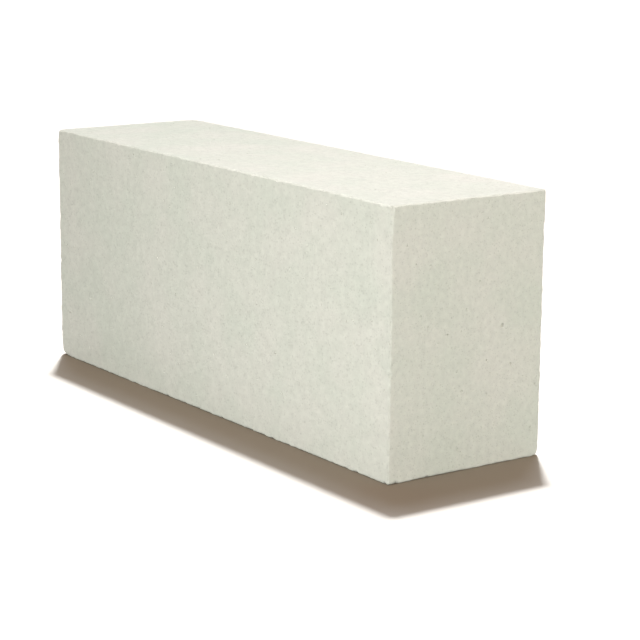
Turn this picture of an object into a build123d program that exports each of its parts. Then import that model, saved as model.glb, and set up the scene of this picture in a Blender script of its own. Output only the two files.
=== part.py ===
"""Aerated concrete wall block, sawn with a wire from one cake, so it is a single solid.

Sizes are in millimetres. X runs along the length, Y through the thickness of the wall
and Z up the height of the course. The origin is the centre of the bottom bed face.
"""

import os

from build123d import *

# The block as it is sold
length = 600.0
thickness = 175.0
height = 250.0

# Handling has rounded every wire-cut arris a little
arris_radius = 1.5

# One bottom corner is knocked off, at the -X end of the -Y face.
# Each value is how far the break reaches from the corner along that edge.
break_along_length = 11.0
break_through_thickness = 9.0
break_up_height = 12.0

# The rim of the break has crumbled less than the old arrises
break_rim_radius = 1.0

os.makedirs("parts", exist_ok=True)

with BuildPart() as block:
    # The sawn block stands on its bed face
    with BuildSketch(Plane.XY):
        Rectangle(length, thickness)
    extrude(amount=height)
    fillet(block.edges(), radius=arris_radius)

    # The plane of the break meets the three edges of the corner at their own distances
    corner = Vector(-length / 2, -thickness / 2, 0)
    on_length = corner + Vector(break_along_length, 0, 0)
    on_thickness = corner + Vector(0, break_through_thickness, 0)
    on_height = corner + Vector(0, 0, break_up_height)
    into_block = (on_thickness - on_length).cross(on_height - on_length)
    split(bisect_by=Plane(origin=on_length, z_dir=into_block), keep=Keep.TOP)
    break_face = block.faces().sort_by_distance(corner)[0]
    fillet(break_face.edges(), radius=break_rim_radius)

block.part.label = "aerated_concrete_block"
export_step(block.part, "parts/aerated_concrete_block.step")
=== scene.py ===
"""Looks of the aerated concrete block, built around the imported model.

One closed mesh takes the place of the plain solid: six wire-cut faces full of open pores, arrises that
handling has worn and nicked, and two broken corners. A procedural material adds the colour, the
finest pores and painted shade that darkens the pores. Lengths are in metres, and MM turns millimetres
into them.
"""

import math
import random

import bmesh
import bpy
from mathutils import Matrix, Vector, geometry, kdtree, noise


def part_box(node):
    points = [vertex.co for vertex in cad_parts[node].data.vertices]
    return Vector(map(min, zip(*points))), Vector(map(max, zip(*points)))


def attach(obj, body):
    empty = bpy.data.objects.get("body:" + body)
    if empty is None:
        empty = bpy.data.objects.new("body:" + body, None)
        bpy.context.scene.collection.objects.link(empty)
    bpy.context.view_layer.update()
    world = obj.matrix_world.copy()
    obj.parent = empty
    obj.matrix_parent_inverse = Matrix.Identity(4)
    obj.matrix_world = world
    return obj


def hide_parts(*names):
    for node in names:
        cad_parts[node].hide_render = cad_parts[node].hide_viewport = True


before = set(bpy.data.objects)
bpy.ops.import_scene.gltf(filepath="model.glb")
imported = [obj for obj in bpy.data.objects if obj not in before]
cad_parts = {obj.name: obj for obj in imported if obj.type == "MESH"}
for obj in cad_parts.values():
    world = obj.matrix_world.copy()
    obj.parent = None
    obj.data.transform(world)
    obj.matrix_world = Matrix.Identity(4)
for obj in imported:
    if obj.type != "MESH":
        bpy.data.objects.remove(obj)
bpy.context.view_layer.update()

MM = 0.001
BLOCK_NODE = "aerated_concrete_block"
LOW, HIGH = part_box(BLOCK_NODE)
draw = random.Random(250)


# Cut faces

# Each face has its outward normal and the two directions that its own u and v run in
FACE_AXES = [
    (Vector((0, -1, 0)), Vector((1, 0, 0)), Vector((0, 0, 1))),
    (Vector((0, 1, 0)), Vector((-1, 0, 0)), Vector((0, 0, 1))),
    (Vector((1, 0, 0)), Vector((0, 1, 0)), Vector((0, 0, 1))),
    (Vector((-1, 0, 0)), Vector((0, -1, 0)), Vector((0, 0, 1))),
    (Vector((0, 0, 1)), Vector((1, 0, 0)), Vector((0, 1, 0))),
    (Vector((0, 0, -1)), Vector((-1, 0, 0)), Vector((0, 1, 0))),
]

# Each face's place on the bake map, as the lower left corner of its rectangle: the two long faces,
# the two beds above them, and the two ends in the column beside
MAP_GAP = 3 * MM
LENGTH, THICKNESS, HEIGHT = HIGH - LOW
MAP_ROWS = [0, HEIGHT + MAP_GAP, 2 * (HEIGHT + MAP_GAP), 2 * (HEIGHT + MAP_GAP) + THICKNESS + MAP_GAP]
MAP_COLUMN = LENGTH + MAP_GAP
MAP_PLACES = [
    (0, MAP_ROWS[0]),
    (0, MAP_ROWS[1]),
    (MAP_COLUMN, MAP_ROWS[0]),
    (MAP_COLUMN, MAP_ROWS[1]),
    (0, MAP_ROWS[2]),
    (0, MAP_ROWS[3]),
]
MAP_SIDE = MAP_ROWS[3] + THICKNESS + MAP_GAP

# Points run round each face in loops near its arrises, where the wear needs a fine mesh
ARRIS_STEP = 1.5 * MM
LOOP_INSETS = [0, 0.7 * MM, 1.6 * MM, 2.8 * MM, 4.3 * MM]

# Pores in each square metre of face, from the few widest to the many finest, with their radii
PORE_SIZES = [
    (25, 1.8 * MM, 2.5 * MM),
    (450, 1.1 * MM, 1.6 * MM),
    (11000, 0.6 * MM, 1.05 * MM),
]
PORE_BIAS = 2
PORE_GAP = 0.45 * MM
PORE_MARGIN = 0.5 * MM
BREAK_CLEARANCE = 2 * MM

# Some of the places drawn fall on another pore, so more are tried than are wanted
TRIES_PER_PORE = 1.15

# Parts of a pore's radius: how far its rim may reach, how uneven and how narrow it is, and its depth
RIM_REACH = 1.15
LEAST_RIM, MOST_RIM = 0.94, 1.06
NARROWEST_PORE = 0.84
SHALLOWEST_PORE, DEEPEST_PORE = 0.3, 0.7

# Wider pores have a rounder rim and a ring of points low in their wall, with its size and depth as parts
# of the pore's and the share of the pore's painted shade that it gets
ROUND_PORE_RADIUS = 1.07 * MM
ROUND_RIM_POINTS = 8
FINE_RIM_POINTS = 6
LOWER_RING_SIZE, LOWER_RING_DEPTH, LOWER_RING_PAINTED_SHADE = 0.72, 0.68, 0.8

# Points between the pores, far apart on the faces and close round the broken corners
FACE_STEP, FACE_CLEARANCE = 9 * MM, 1.5 * MM
CORNER_STEP, CORNER_CLEARANCE = 1.6 * MM, 0.4 * MM
CORNER_MARGIN = 4 * MM
FILL_MARGIN = 1.2 * MM
JITTER = 0.25

# Points closer than this are one point: within a face, and where two faces meet
SAME_PLACE = 1e-7
WELD_DISTANCE = 0.001 * MM


# Wear

# How large the rounding of the arrises is, and how much it varies along them, slowly and quickly
ARRIS_WEAR = 1.3 * MM
LEAST_WEAR = 0.5 * MM
SLOW_WEAR_SHARE, SLOW_WEAR_SPACING = 0.4, 60 * MM
QUICK_WEAR_SHARE, QUICK_WEAR_SPACING = 1.1, 8 * MM
QUICK_WEAR_SHIFT = Vector((7, 3, 1))

# How deep the wire's path wanders and ripples, and over what distance
WANDER_DEPTH, WANDER_SPACING = 0.12 * MM, 70 * MM
RIPPLE_DEPTH, RIPPLE_SPACING = 0.05 * MM, 7 * MM

# Crumbs lost close to an arris, coarse ones and fine ones, and how far onto the faces they go
CRUMB_DEPTH = 0.4 * MM
CRUMB_SPACING = 3.4 * MM
FINE_CRUMB_SHARE, FINE_CRUMB_SPACING = 0.5, 1.7 * MM
CRUMBS_START, CRUMBS_BAND = 0.7, 0.3

# Corners that are knocked off: which end of each axis, how far the break reaches along it, and
# how much the broken face bulges
BROKEN_CORNERS = [
    ((-1, -1, -1), Vector((11, 9, 12)) * MM, 1.8 * MM),
    ((1, -1, 1), Vector((5, 5, 13)) * MM, 0.5 * MM),
]
ROUGH_HEIGHT, ROUGH_SPACING, ROUGH_SINK = 0.8 * MM, 5 * MM, 0.5 * MM

# Corners that handling has blunted: which end of each axis, the added wear and how far it reaches
BLUNT_CORNERS = [
    ((-1, 1, 1), 4.0 * MM, 22 * MM),
    ((1, 1, -1), 2.0 * MM, 10 * MM),
    ((-1, -1, 1), 1.5 * MM, 8 * MM),
    ((-1, -1, -1), 3.5 * MM, 20 * MM),
]

# Nicks in the arrises, most of them small, each as deep as a part of its radius with a little added
NICK_SPACING = 15 * MM
SMALLEST_NICK, LARGEST_NICK = 1.3 * MM, 4.8 * MM
NICK_BIAS = 3
SHALLOWEST_NICK, DEEPEST_NICK = 0.25, 0.5
ADDED_NICK_DEPTH = 0.4 * MM


def corner_point(ends):
    """The corner of the block at the low or high end of each axis."""
    return Vector([HIGH[i] if ends[i] > 0 else LOW[i] for i in range(3)])


class Break:
    """A corner that is knocked off, leaving a rough, slightly domed face."""

    def __init__(self, ends, reach, bulge):
        corner = corner_point(ends)
        on_axes = []
        for i in range(3):
            on_axis = corner.copy()
            on_axis[i] -= ends[i] * reach[i]
            on_axes.append(on_axis)
        self.middle = (on_axes[0] + on_axes[1] + on_axes[2]) / 3
        self.normal = (on_axes[1] - on_axes[0]).cross(on_axes[2] - on_axes[0]).normalized()
        if self.normal.dot(corner - self.middle) < 0:
            self.normal.negate()
        self.bulge = bulge
        self.radius = max((on_axis - self.middle).length for on_axis in on_axes)

    def beyond(self, point):
        """How far a point lies outside the flat plane across the corner."""
        return (point - self.middle).dot(self.normal)

    def cut(self, surface, point):
        """The surface at a point of the sharp block, taken back to the broken face."""
        from_middle = (surface - self.middle).length / self.radius
        dome = self.bulge * max(0.0, 1 - from_middle * from_middle)
        rough = ROUGH_HEIGHT * noise.noise(point / ROUGH_SPACING) - ROUGH_SINK
        return surface - self.normal * max(0.0, self.beyond(surface) - dome - rough)


def arrises():
    """The twelve arrises: a start, an end and the direction into the block, halfway between the faces."""
    found = []
    for along in range(3):
        one, other = [i for i in range(3) if i != along]
        for side_one in (-1, 1):
            for side_other in (-1, 1):
                ends = [0, 0, 0]
                ends[one] = side_one
                ends[other] = side_other
                ends[along] = -1
                start = corner_point(ends)
                ends[along] = 1
                end = corner_point(ends)
                inward = Vector((0, 0, 0))
                inward[one] = -side_one
                inward[other] = -side_other
                found.append((start, end, inward.normalized()))
    return found


def make_nicks():
    """Small bites out of the arrises, each a ball's centre, its radius and the direction it bites in."""
    nicks = []
    for start, end, inward in arrises():
        length = (end - start).length
        for _ in range(round(length / NICK_SPACING)):
            radius = SMALLEST_NICK + (LARGEST_NICK - SMALLEST_NICK) * draw.random() ** NICK_BIAS
            depth = radius * draw.uniform(SHALLOWEST_NICK, DEEPEST_NICK) + ADDED_NICK_DEPTH
            on_arris = start.lerp(end, draw.random())
            nicks.append((on_arris - inward * (radius - depth), radius, inward))
    return nicks


NICKS = make_nicks()
WIDEST_NICK = max(radius for _, radius, _ in NICKS)
NICK_TREE = kdtree.KDTree(len(NICKS))
for nick_index, nick in enumerate(NICKS):
    NICK_TREE.insert(nick[0], nick_index)
NICK_TREE.balance()
BREAKS = [Break(*corner) for corner in BROKEN_CORNERS]
BLUNT_POINTS = [(corner_point(ends), wear, reach) for ends, wear, reach in BLUNT_CORNERS]


def beyond_breaks(point):
    """How far a point lies outside the nearest break's plane, below zero inside it."""
    return max(broken.beyond(point) for broken in BREAKS)


def clamped(point, inset):
    """The point of the block, shrunk by inset, that lies nearest to a point."""
    return Vector([min(max(point[i], LOW[i] + inset), HIGH[i] - inset) for i in range(3)])


def wear_at(point):
    """How large the arris's rounding is near a point."""
    slow = noise.noise(point / SLOW_WEAR_SPACING)
    quick = noise.noise(point / QUICK_WEAR_SPACING + QUICK_WEAR_SHIFT)
    wear = ARRIS_WEAR * (1 + SLOW_WEAR_SHARE * slow + QUICK_WEAR_SHARE * quick)
    for corner, added, reach in BLUNT_POINTS:
        near = 1 - (point - corner).length / reach
        if near > 0:
            wear += added * near * near * (3 - 2 * near)
    return max(wear, LEAST_WEAR)


def weathered(point):
    """Where a point of the sharp new block's surface lies on the handled one, always inside it."""
    # The wire wanders a little, so no face is quite flat
    wander = WANDER_DEPTH * (1 + noise.noise(point / WANDER_SPACING))
    ripple = RIPPLE_DEPTH * (1 + noise.noise(point / RIPPLE_SPACING))
    sunk = wander + ripple
    flat = clamped(point, sunk)

    # The arris is rounded about a line that lies as deep as the wear is large
    wear = wear_at(point)
    core = clamped(point, sunk + wear)
    out = flat - core
    worn = core + out * (wear / out.length)

    # Close to an arris the surface has crumbled
    edge_depth = 0.0
    if out.length > wear:
        edge_depth = max(0.0, 1 - (wear / out.length - CRUMBS_START) / CRUMBS_BAND)
    fine_crumbs = FINE_CRUMB_SHARE * noise.noise(point / FINE_CRUMB_SPACING)
    crumbs = 1 + noise.noise(point / CRUMB_SPACING) + fine_crumbs
    crumbled = worn - out.normalized() * (CRUMB_DEPTH * edge_depth * crumbs)

    # Nicks bite in along their own direction, as far as their ball reaches
    for centre, index, _ in NICK_TREE.find_range(crumbled, WIDEST_NICK):
        _, radius, inward = NICKS[index]
        offset = crumbled - centre
        along = offset.dot(inward)
        inside = radius * radius - offset.length_squared
        if inside > 0:
            crumbled = crumbled + inward * (math.sqrt(along * along + inside) - along)

    for broken in BREAKS:
        crumbled = broken.cut(crumbled, point)
    return crumbled


class Sheet:
    """One cut face before wear: its points in u and v, how deep each lies in a pore, how much painted
    shade darkens it there, and its triangles.
    """

    def __init__(self, normal, u_way, v_way):
        self.normal = normal
        self.u_way = u_way
        self.v_way = v_way
        self.start = Vector([LOW[i] if (u_way + v_way - normal)[i] > 0 else HIGH[i] for i in range(3)])
        self.width = abs((HIGH - LOW).dot(u_way))
        self.height = abs((HIGH - LOW).dot(v_way))
        self.points = []
        self.depths = []
        self.painted_pore_shades = []
        self.faces = []
        self.sharp = []

    def at(self, u, v):
        return self.start + self.u_way * u + self.v_way * v

    def add(self, u, v, depth=0.0, painted_pore_shade=0.0):
        self.points.append((u, v))
        self.depths.append(depth)
        self.painted_pore_shades.append(painted_pore_shade)
        return len(self.points) - 1


def loop_points(width, height, inset):
    """Points round a rectangle, evenly spaced along each side."""
    left, bottom, right, top = inset, inset, width - inset, height - inset
    corners = [(left, bottom), (right, bottom), (right, top), (left, top)]
    found = []
    for i in range(4):
        (u0, v0), (u1, v1) = corners[i], corners[(i + 1) % 4]
        steps = round(math.hypot(u1 - u0, v1 - v0) / ARRIS_STEP)
        for step in range(steps):
            share = step / steps
            found.append((u0 + (u1 - u0) * share, v0 + (v1 - v0) * share))
    return found


class Scatter:
    """Discs on a face that keep clear of each other, found fast through a grid of cells."""

    def __init__(self, largest):
        self.cell = 2 * largest + PORE_GAP
        self.cells = {}

    def free(self, u, v, radius):
        column, row = int(u / self.cell), int(v / self.cell)
        for i in (column - 1, column, column + 1):
            for j in (row - 1, row, row + 1):
                for other_u, other_v, other_radius in self.cells.get((i, j), ()):
                    if math.hypot(u - other_u, v - other_v) < radius + other_radius + PORE_GAP:
                        return False
        return True

    def add(self, u, v, radius):
        key = (int(u / self.cell), int(v / self.cell))
        self.cells.setdefault(key, []).append((u, v, radius))


def scatter_pores(sheet):
    """Random places and radii for a face's pores, the widest first, and the grid they are in."""
    scatter = Scatter(PORE_SIZES[0][2])
    pores = []
    for per_square_metre, smallest, largest in PORE_SIZES:
        wanted = per_square_metre * sheet.width * sheet.height
        for _ in range(round(wanted * TRIES_PER_PORE)):
            radius = smallest + (largest - smallest) * draw.random() ** PORE_BIAS
            edge = LOOP_INSETS[-1] + PORE_MARGIN + radius * RIM_REACH
            u = draw.uniform(edge, sheet.width - edge)
            v = draw.uniform(edge, sheet.height - edge)
            clear_of_breaks = beyond_breaks(sheet.at(u, v)) < -radius - BREAK_CLEARANCE
            if clear_of_breaks and scatter.free(u, v, radius):
                scatter.add(u, v, radius)
                pores.append((u, v, radius))
    return pores, scatter


def rim_points(u, v, radius):
    """A pore's rim: a slightly uneven oval with few points, as the cells are not quite round."""
    count = ROUND_RIM_POINTS if radius > ROUND_PORE_RADIUS else FINE_RIM_POINTS
    turn = draw.uniform(0, math.pi)
    stretch = draw.uniform(NARROWEST_PORE, 1.0)
    found = []
    for i in range(count):
        angle = 2 * math.pi * i / count
        size = radius * draw.uniform(LEAST_RIM, MOST_RIM)
        across, along = size * math.cos(angle), size * math.sin(angle) * stretch
        rim_u = u + across * math.cos(turn) - along * math.sin(turn)
        rim_v = v + across * math.sin(turn) + along * math.cos(turn)
        found.append((rim_u, rim_v))
    return found


def fill_points(sheet, scatter):
    """Loose points between the pores, closer together round the broken corners."""
    edge = LOOP_INSETS[-1] + FILL_MARGIN
    for step, clearance in ((CORNER_STEP, CORNER_CLEARANCE), (FACE_STEP, FACE_CLEARANCE)):
        rows = int((sheet.height - 2 * edge) / step)
        columns = int((sheet.width - 2 * edge) / step)
        for row in range(rows + 1):
            for column in range(columns + 1):
                u = edge + (column + 0.5 * (row % 2) + draw.uniform(-JITTER, JITTER)) * step
                v = edge + (row + draw.uniform(-JITTER, JITTER)) * step
                near_break = beyond_breaks(sheet.at(u, v)) > -CORNER_MARGIN
                inside = edge <= u <= sheet.width - edge and edge <= v <= sheet.height - edge
                wanted = inside and near_break == (step == CORNER_STEP)
                if wanted and scatter.free(u, v, clearance - PORE_GAP):
                    sheet.add(u, v)


def cut_face(normal, u_way, v_way):
    """One wire-cut face: triangles between its loops and pore rims, and a pit inside each rim whose colour
    is darkened towards its bottom as painted shade.
    """
    sheet = Sheet(normal, u_way, v_way)
    edges = []
    for inset in LOOP_INSETS:
        ring = [sheet.add(u, v) for u, v in loop_points(sheet.width, sheet.height, inset)]
        edges += [(ring[i - 1], ring[i]) for i in range(len(ring))]
    pores, scatter = scatter_pores(sheet)
    pore_of = {}
    rims = []
    for index, (u, v, radius) in enumerate(pores):
        ring = [sheet.add(*point) for point in rim_points(u, v, radius)]
        pore_of.update(dict.fromkeys(ring, index))
        edges += [(ring[i - 1], ring[i]) for i in range(len(ring))]
        rims.append(ring)
    fill_points(sheet, scatter)

    coordinates = [Vector(point) for point in sheet.points]
    _, _, triangles, sources, _, _ = geometry.delaunay_2d_cdt(coordinates, edges, [], 0, SAME_PLACE)
    for triangle in triangles:
        corners = [sources[i][0] for i in triangle]
        owners = {pore_of.get(i) for i in corners}
        if owners == {None} or len(owners) > 1:
            sheet.faces.append(corners)

    for (u, v, radius), ring in zip(pores, rims, strict=True):
        sheet.sharp += [(ring[i - 1], ring[i]) for i in range(len(ring))]
        depth = radius * draw.uniform(SHALLOWEST_PORE, DEEPEST_PORE)
        count = len(ring)
        # The pit's bottom gets the full painted shade, darkening its colour where shade falls inside the
        # pore
        bottom = sheet.add(u, v, depth, 1.0)
        if count == ROUND_RIM_POINTS:
            lower = []
            for i in ring:
                rim_u, rim_v = sheet.points[i]
                lower_u = u + (rim_u - u) * LOWER_RING_SIZE
                lower_v = v + (rim_v - v) * LOWER_RING_SIZE
                lower.append(sheet.add(lower_u, lower_v, depth * LOWER_RING_DEPTH, LOWER_RING_PAINTED_SHADE))
            for i in range(count):
                sheet.faces.append([ring[i - 1], ring[i], lower[i], lower[i - 1]])
            ring = lower
        for i in range(count):
            sheet.faces.append([ring[i - 1], ring[i], bottom])
    return sheet


def make_block():
    """The six faces, worn and joined along their arrises into one closed mesh."""
    points, painted_pore_shades, faces, sharp, map_places = [], [], [], [], []
    for axes, (map_u, map_v) in zip(FACE_AXES, MAP_PLACES, strict=True):
        sheet = cut_face(*axes)
        first = len(points)
        for (u, v), depth in zip(sheet.points, sheet.depths, strict=True):
            points.append(weathered(sheet.at(u, v)) - sheet.normal * depth)
            map_places.append(((map_u + u) / MAP_SIDE, (map_v + v) / MAP_SIDE))
        painted_pore_shades += sheet.painted_pore_shades
        faces += [[first + i for i in face] for face in sheet.faces]
        sharp += [(first + a, first + b) for a, b in sheet.sharp]

    mesh = bpy.data.meshes.new("aerated_block_surface")
    mesh.from_pydata(points, [], faces)
    bake_map = mesh.uv_layers.new(name="OFBake")
    for loop in mesh.loops:
        bake_map.data[loop.index].uv = map_places[loop.vertex_index]
    # The pores' painted shade goes to the material as this attribute
    mesh.attributes.new("painted_pore_shade", "FLOAT", "POINT").data.foreach_set("value", painted_pore_shades)
    mesh.polygons.foreach_set("use_smooth", [True] * len(mesh.polygons))

    surface = bmesh.new()
    surface.from_mesh(mesh)
    surface.verts.ensure_lookup_table()
    for a, b in sharp:
        surface.edges.get((surface.verts[a], surface.verts[b])).smooth = False
    bmesh.ops.remove_doubles(surface, verts=surface.verts, dist=WELD_DISTANCE)
    surface.to_mesh(mesh)
    surface.free()
    piece = bpy.data.objects.new("aerated_block", mesh)
    bpy.context.scene.collection.objects.link(piece)
    return piece


# Material

# Air cells too fine for the mesh: their spacing, the smallest and largest radius, and the part of the
# radius that their flat middle takes up
WIDE_CELLS = (2.9 * MM, 0.5 * MM, 1.3 * MM)
FINE_CELLS = (1.3 * MM, 0.3 * MM, 0.6 * MM)
CELL_MIDDLE = 0.5
STIR_SPACING, STIR_SHIFT = 2.4 * MM, 0.6 * MM

# Two off-whites that drift into each other, with their places on the colour ramp
TINTS = [(0.35, (0.685, 0.705, 0.612, 1)), (0.65, (0.725, 0.722, 0.638, 1))]
DRIFT_SPACING, MOTTLE_SPACING, GRAIN_SPACING = 60 * MM, 6 * MM, 1.6 * MM

# The tint is multiplied by a base shade and what each layer adds to it: the mottle is the concrete's own
# uneven tone, and the cells and the mesh's pores darken it as painted shade where shade falls in them. The
# relief adds up the same layers on top of the grain
BASE_SHADE, MOTTLE_SHADE = 0.89, 0.22
WIDE_CELL_PAINTED_SHADE, FINE_CELL_PAINTED_SHADE, PORE_PAINTED_SHADE = -0.08, -0.03, -0.07
WIDE_CELL_RELIEF, FINE_CELL_RELIEF, MOTTLE_RELIEF = -1.0, -0.4, 1.4
BUMP_STRENGTH, BUMP_DEPTH = 0.7, 0.3 * MM
ROUGHNESS, SPECULAR = 0.95, 0.2

# The colour sockets of a Mix node, by their order in its lists
MIX_FIRST, MIX_SECOND, MIX_RESULT = 6, 7, 2


class Nodes:
    """Short calls that add and join the nodes of one node tree."""

    def __init__(self, tree):
        self.tree = tree
        tree.nodes.clear()

    def add(self, kind, settings=None, **inputs):
        node = self.tree.nodes.new(kind)
        for name, value in (settings or {}).items():
            setattr(node, name, value)
        for name, value in inputs.items():
            self.feed(node, name.replace("_", " "), value)
        return node

    def feed(self, node, name, value):
        socket = node.inputs[name]
        if isinstance(value, bpy.types.NodeSocket):
            self.tree.links.new(value, socket)
        else:
            socket.default_value = value


def air_cells(nodes, place, spacing, smallest, largest):
    """Round air cells that the cut has opened: 0 on the walls between them, 1 in the middle of each."""
    cells = nodes.add("ShaderNodeTexVoronoi", Vector=place, Scale=1 / spacing)
    chance = nodes.add("ShaderNodeSeparateColor", Color=cells.outputs["Color"])
    radius = nodes.add("ShaderNodeMapRange", Value=chance.outputs["Red"])
    radius.inputs["To Min"].default_value = smallest / spacing
    radius.inputs["To Max"].default_value = largest / spacing
    inner = nodes.add("ShaderNodeMath", {"operation": "MULTIPLY"})
    nodes.feed(inner, 0, radius.outputs["Result"])
    inner.inputs[1].default_value = CELL_MIDDLE
    opened = nodes.add(
        "ShaderNodeMapRange",
        {"interpolation_type": "SMOOTHSTEP"},
        Value=cells.outputs["Distance"],
        From_Min=inner.outputs["Value"],
        From_Max=radius.outputs["Result"],
    )
    opened.inputs["To Min"].default_value = 1
    opened.inputs["To Max"].default_value = 0
    return opened.outputs["Result"]


def weighted(nodes, value, weight, added):
    """value times weight, plus added, which is a number or another value."""
    node = nodes.add("ShaderNodeMath", {"operation": "MULTIPLY_ADD"})
    nodes.feed(node, 0, value)
    nodes.feed(node, 1, weight)
    nodes.feed(node, 2, added)
    return node.outputs["Value"]


def concrete_material():
    """Off-white cement and lime, softly mottled, and full of air cells too fine for the mesh, their colour
    darkened inside as painted shade.
    """
    material = bpy.data.materials.new("aerated_concrete")
    material.use_nodes = True
    nodes = Nodes(material.node_tree)
    place = nodes.add("ShaderNodeTexCoord").outputs["Object"]

    # The cells are not quite round, so the places they are drawn at are shifted a little
    stir = nodes.add("ShaderNodeTexNoise", Vector=place, Scale=1 / STIR_SPACING, Detail=1.0)
    shift = nodes.add("ShaderNodeVectorMath", {"operation": "MULTIPLY_ADD"})
    nodes.feed(shift, 0, stir.outputs["Color"])
    shift.inputs[1].default_value = (STIR_SHIFT,) * 3
    nodes.feed(shift, 2, place)
    stirred = shift.outputs["Vector"]

    wide_cells = air_cells(nodes, stirred, *WIDE_CELLS)
    fine_cells = air_cells(nodes, stirred, *FINE_CELLS)
    # Painted shade inside the mesh's pores, darkest at their bottoms
    painted_pore_shade = nodes.add("ShaderNodeAttribute", {"attribute_name": "painted_pore_shade"}).outputs["Fac"]

    drift = nodes.add(
        "ShaderNodeTexNoise", Vector=place, Scale=1 / DRIFT_SPACING, Detail=3.0, Roughness=0.5
    )
    tint_node = nodes.add("ShaderNodeValToRGB", Fac=drift.outputs["Fac"])
    for element, (position, tint) in zip(tint_node.color_ramp.elements, TINTS, strict=True):
        element.position = position
        element.color = tint

    mottle = nodes.add(
        "ShaderNodeTexNoise", Vector=place, Scale=1 / MOTTLE_SPACING, Detail=1.5, Roughness=0.6
    )
    tone_and_painted_shade = weighted(nodes, mottle.outputs["Fac"], MOTTLE_SHADE, BASE_SHADE)
    # The cells and the mesh's pores darken the colour as painted shade, on top of their relief
    tone_and_painted_shade = weighted(nodes, wide_cells, WIDE_CELL_PAINTED_SHADE, tone_and_painted_shade)
    tone_and_painted_shade = weighted(nodes, fine_cells, FINE_CELL_PAINTED_SHADE, tone_and_painted_shade)
    tone_and_painted_shade = weighted(nodes, painted_pore_shade, PORE_PAINTED_SHADE, tone_and_painted_shade)
    colour = nodes.add("ShaderNodeVectorMath", {"operation": "SCALE"}, Scale=tone_and_painted_shade)
    nodes.tree.links.new(tint_node.outputs["Color"], colour.inputs[0])

    grain = nodes.add(
        "ShaderNodeTexNoise", Vector=place, Scale=1 / GRAIN_SPACING, Detail=3.0, Roughness=0.6
    )
    relief = weighted(nodes, wide_cells, WIDE_CELL_RELIEF, grain.outputs["Fac"])
    relief = weighted(nodes, fine_cells, FINE_CELL_RELIEF, relief)
    relief = weighted(nodes, mottle.outputs["Fac"], MOTTLE_RELIEF, relief)
    bump = nodes.add("ShaderNodeBump", Height=relief, Strength=BUMP_STRENGTH, Distance=BUMP_DEPTH)

    shader = nodes.add("ShaderNodeBsdfPrincipled", Normal=bump.outputs["Normal"])
    nodes.tree.links.new(colour.outputs["Vector"], shader.inputs["Base Color"])
    shader.inputs["Roughness"].default_value = ROUGHNESS
    shader.inputs["Specular IOR Level"].default_value = SPECULAR
    out = nodes.add("ShaderNodeOutputMaterial")
    nodes.tree.links.new(shader.outputs["BSDF"], out.inputs["Surface"])
    return material


# Studio

# The floor and the world each have one colour to look at and another for the light that they give off
FLOOR_SIDE = 60.0
FLOOR_SEEN = (0.41, 0.362, 0.315, 1)
FLOOR_LIT = (0.082, 0.077, 0.07, 1)
WORLD_SEEN = (1, 1, 1, 1)
WORLD_LIGHT = (0.155, 0.13, 0.105, 1)


def seen_directly(nodes):
    """1 for rays that look at the backdrop, also in a mirror or through glass, and 0 for the others."""
    path = nodes.add("ShaderNodeLightPath")
    mirror = nodes.add("ShaderNodeMath", {"operation": "MAXIMUM"})
    nodes.feed(mirror, 0, path.outputs["Is Camera Ray"])
    nodes.feed(mirror, 1, path.outputs["Is Glossy Ray"])
    either = nodes.add("ShaderNodeMath", {"operation": "MAXIMUM"})
    nodes.feed(either, 0, mirror.outputs["Value"])
    nodes.feed(either, 1, path.outputs["Is Transmission Ray"])
    return either.outputs["Value"]


def seen_or_lit(nodes, seen, lit):
    """One colour for rays that look at the backdrop, and another for rays that light things."""
    colour = nodes.add("ShaderNodeMix", {"data_type": "RGBA"})
    nodes.feed(colour, 0, seen_directly(nodes))
    nodes.feed(colour, MIX_FIRST, lit)
    nodes.feed(colour, MIX_SECOND, seen)
    return colour.outputs[MIX_RESULT]


def make_floor():
    mesh = bpy.data.meshes.new("floor")
    half = FLOOR_SIDE / 2
    corners = [(-half, -half, 0), (half, -half, 0), (half, half, 0), (-half, half, 0)]
    mesh.from_pydata(corners, [], [(0, 1, 2, 3)])
    floor = bpy.data.objects.new("floor", mesh)
    bpy.context.scene.collection.objects.link(floor)
    material = bpy.data.materials.new("floor_paper")
    material.use_nodes = True
    nodes = Nodes(material.node_tree)
    paper = nodes.add("ShaderNodeBsdfDiffuse", Color=seen_or_lit(nodes, FLOOR_SEEN, FLOOR_LIT))
    out = nodes.add("ShaderNodeOutputMaterial")
    nodes.tree.links.new(paper.outputs["BSDF"], out.inputs["Surface"])
    mesh.materials.append(material)
    return floor


def make_world():
    world = bpy.data.worlds.new("studio")
    bpy.context.scene.world = world
    world.use_nodes = True
    nodes = Nodes(world.node_tree)
    background = nodes.add("ShaderNodeBackground", Color=seen_or_lit(nodes, WORLD_SEEN, WORLD_LIGHT))
    out = nodes.add("ShaderNodeOutputWorld")
    nodes.tree.links.new(background.outputs["Background"], out.inputs["Surface"])


def pointed(ob, target):
    """Turns a light to face a target."""
    ob.rotation_euler = (target - ob.location).to_track_quat("-Z", "Y").to_euler()


# Each panel's place, its width and height, its power in watts and its colour
PANELS = {
    "front_panel": (Vector((0.46, -1.37, 0.15)), 0.9, 0.6, 21.8, (0.985, 0.99, 0.99)),
    "end_panel": (Vector((4.2, 2.2, 0.2)), 2.0, 1.2, 200, (1.0, 0.985, 0.95)),
    "back_panel": (Vector((-1.3, 1.7, 0.2)), 0.9, 0.4, 21, (1.0, 1.0, 1.0)),
    "top_panel": (Vector((0.36, 0.0, 1.1)), 0.4, 0.3, 2.7, (1.12, 0.94, 1.06)),
}
PANEL_TARGET = Vector((0, 0, 0.12))

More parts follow.
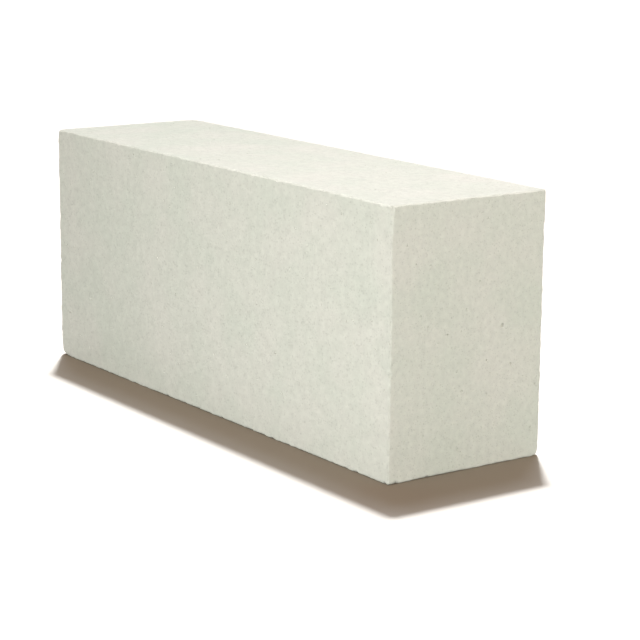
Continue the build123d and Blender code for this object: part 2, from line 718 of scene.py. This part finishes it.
# One sun lights everything. More of it, a hazier one and a warm sky light the floor alone, so that the
# floor is white round the shadow while the block keeps its own colour.
SUN_STRENGTH = 2.54
FLOOR_SUN_STRENGTH = 5.2
FLOOR_HAZE_STRENGTH = 1.7
FLOOR_SKY_STRENGTH = 1.5
SUN_TONE = (0.94, 1.0, 1.02)
FLOOR_SUN_TONE = (0.88, 1.0, 1.16)
HAZE_TONE = (0.82, 1.0, 1.22)
SKY_TONE = (1.0, 0.82, 0.66)
SUN_WIDTH = math.radians(3)
HAZE_WIDTH = math.radians(16)
SKY_WIDTH = math.radians(150)

# How far the shadow reaches past the block, for a block this high, and how much further out the suns hang
SHADOW_REACH = Vector((0.08, -0.057, -0.25))
SUN_DISTANCE = 8


def linked_light(name, kind, receivers=None):
    """A new light in the scene, which lights only its receivers if it has any."""
    data = bpy.data.lights.new(name, kind)
    light = bpy.data.objects.new(name, data)
    bpy.context.scene.collection.objects.link(light)
    if receivers:
        light.light_linking.receiver_collection = receivers
    return light, data


def make_lights(block_alone, floor_alone):
    """The suns, from above and behind the block, and the panels that light it alone."""
    for name, strength, width, tone, receivers in (
        ("key_sun", SUN_STRENGTH, SUN_WIDTH, SUN_TONE, None),
        ("floor_sun", FLOOR_SUN_STRENGTH, SUN_WIDTH, FLOOR_SUN_TONE, floor_alone),
        ("floor_haze", FLOOR_HAZE_STRENGTH, HAZE_WIDTH, HAZE_TONE, floor_alone),
        ("floor_sky", FLOOR_SKY_STRENGTH, SKY_WIDTH, SKY_TONE, floor_alone),
    ):
        light, sun = linked_light(name, "SUN", receivers)
        sun.energy = strength
        sun.angle = width
        sun.color = tone
        light.location = -SHADOW_REACH * SUN_DISTANCE
        pointed(light, Vector((0, 0, 0)))

    for name, (place, width, height, watts, tone) in PANELS.items():
        light, panel = linked_light(name, "AREA", block_alone)
        panel.shape = "RECTANGLE"
        panel.size = width
        panel.size_y = height
        panel.energy = watts
        panel.color = tone
        light.location = place
        pointed(light, PANEL_TARGET)


def group_of(name, member):
    """A collection that holds one object, for lights that light it alone."""
    group = bpy.data.collections.new(name)
    group.objects.link(member)
    return group


# The camera was fitted to the block's edges in the photograph
CAMERA_PLACE = Vector((HIGH.x + 1.408, LOW.y - 1.074, 0.542))
CAMERA_AZIMUTH = math.radians(54.64)
CAMERA_TILT = math.radians(12.51)
CAMERA_ROLL = math.radians(0.5)
CAMERA_LENS = 117.6
SENSOR_WIDTH = 36.0
NEAREST_SEEN, FARTHEST_SEEN = 0.05, 100


def make_camera():
    data = bpy.data.cameras.new("camera")
    data.lens = CAMERA_LENS
    data.sensor_width = SENSOR_WIDTH
    data.clip_start = NEAREST_SEEN
    data.clip_end = FARTHEST_SEEN
    camera = bpy.data.objects.new("camera", data)
    bpy.context.scene.collection.objects.link(camera)
    camera.matrix_world = (
        Matrix.Translation(CAMERA_PLACE)
        @ Matrix.Rotation(CAMERA_AZIMUTH, 4, "Z")
        @ Matrix.Rotation(math.pi / 2 - CAMERA_TILT, 4, "X")
        @ Matrix.Rotation(CAMERA_ROLL, 4, "Z")
    )
    bpy.context.scene.camera = camera


make_camera()
make_world()
floor = make_floor()

block = make_block()
make_lights(group_of("block_alone", block), group_of("floor_alone", floor))
block.data.materials.append(concrete_material())
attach(block, "root")
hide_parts(BLOCK_NODE)

bpy.context.scene.view_settings.view_transform = "Standard"
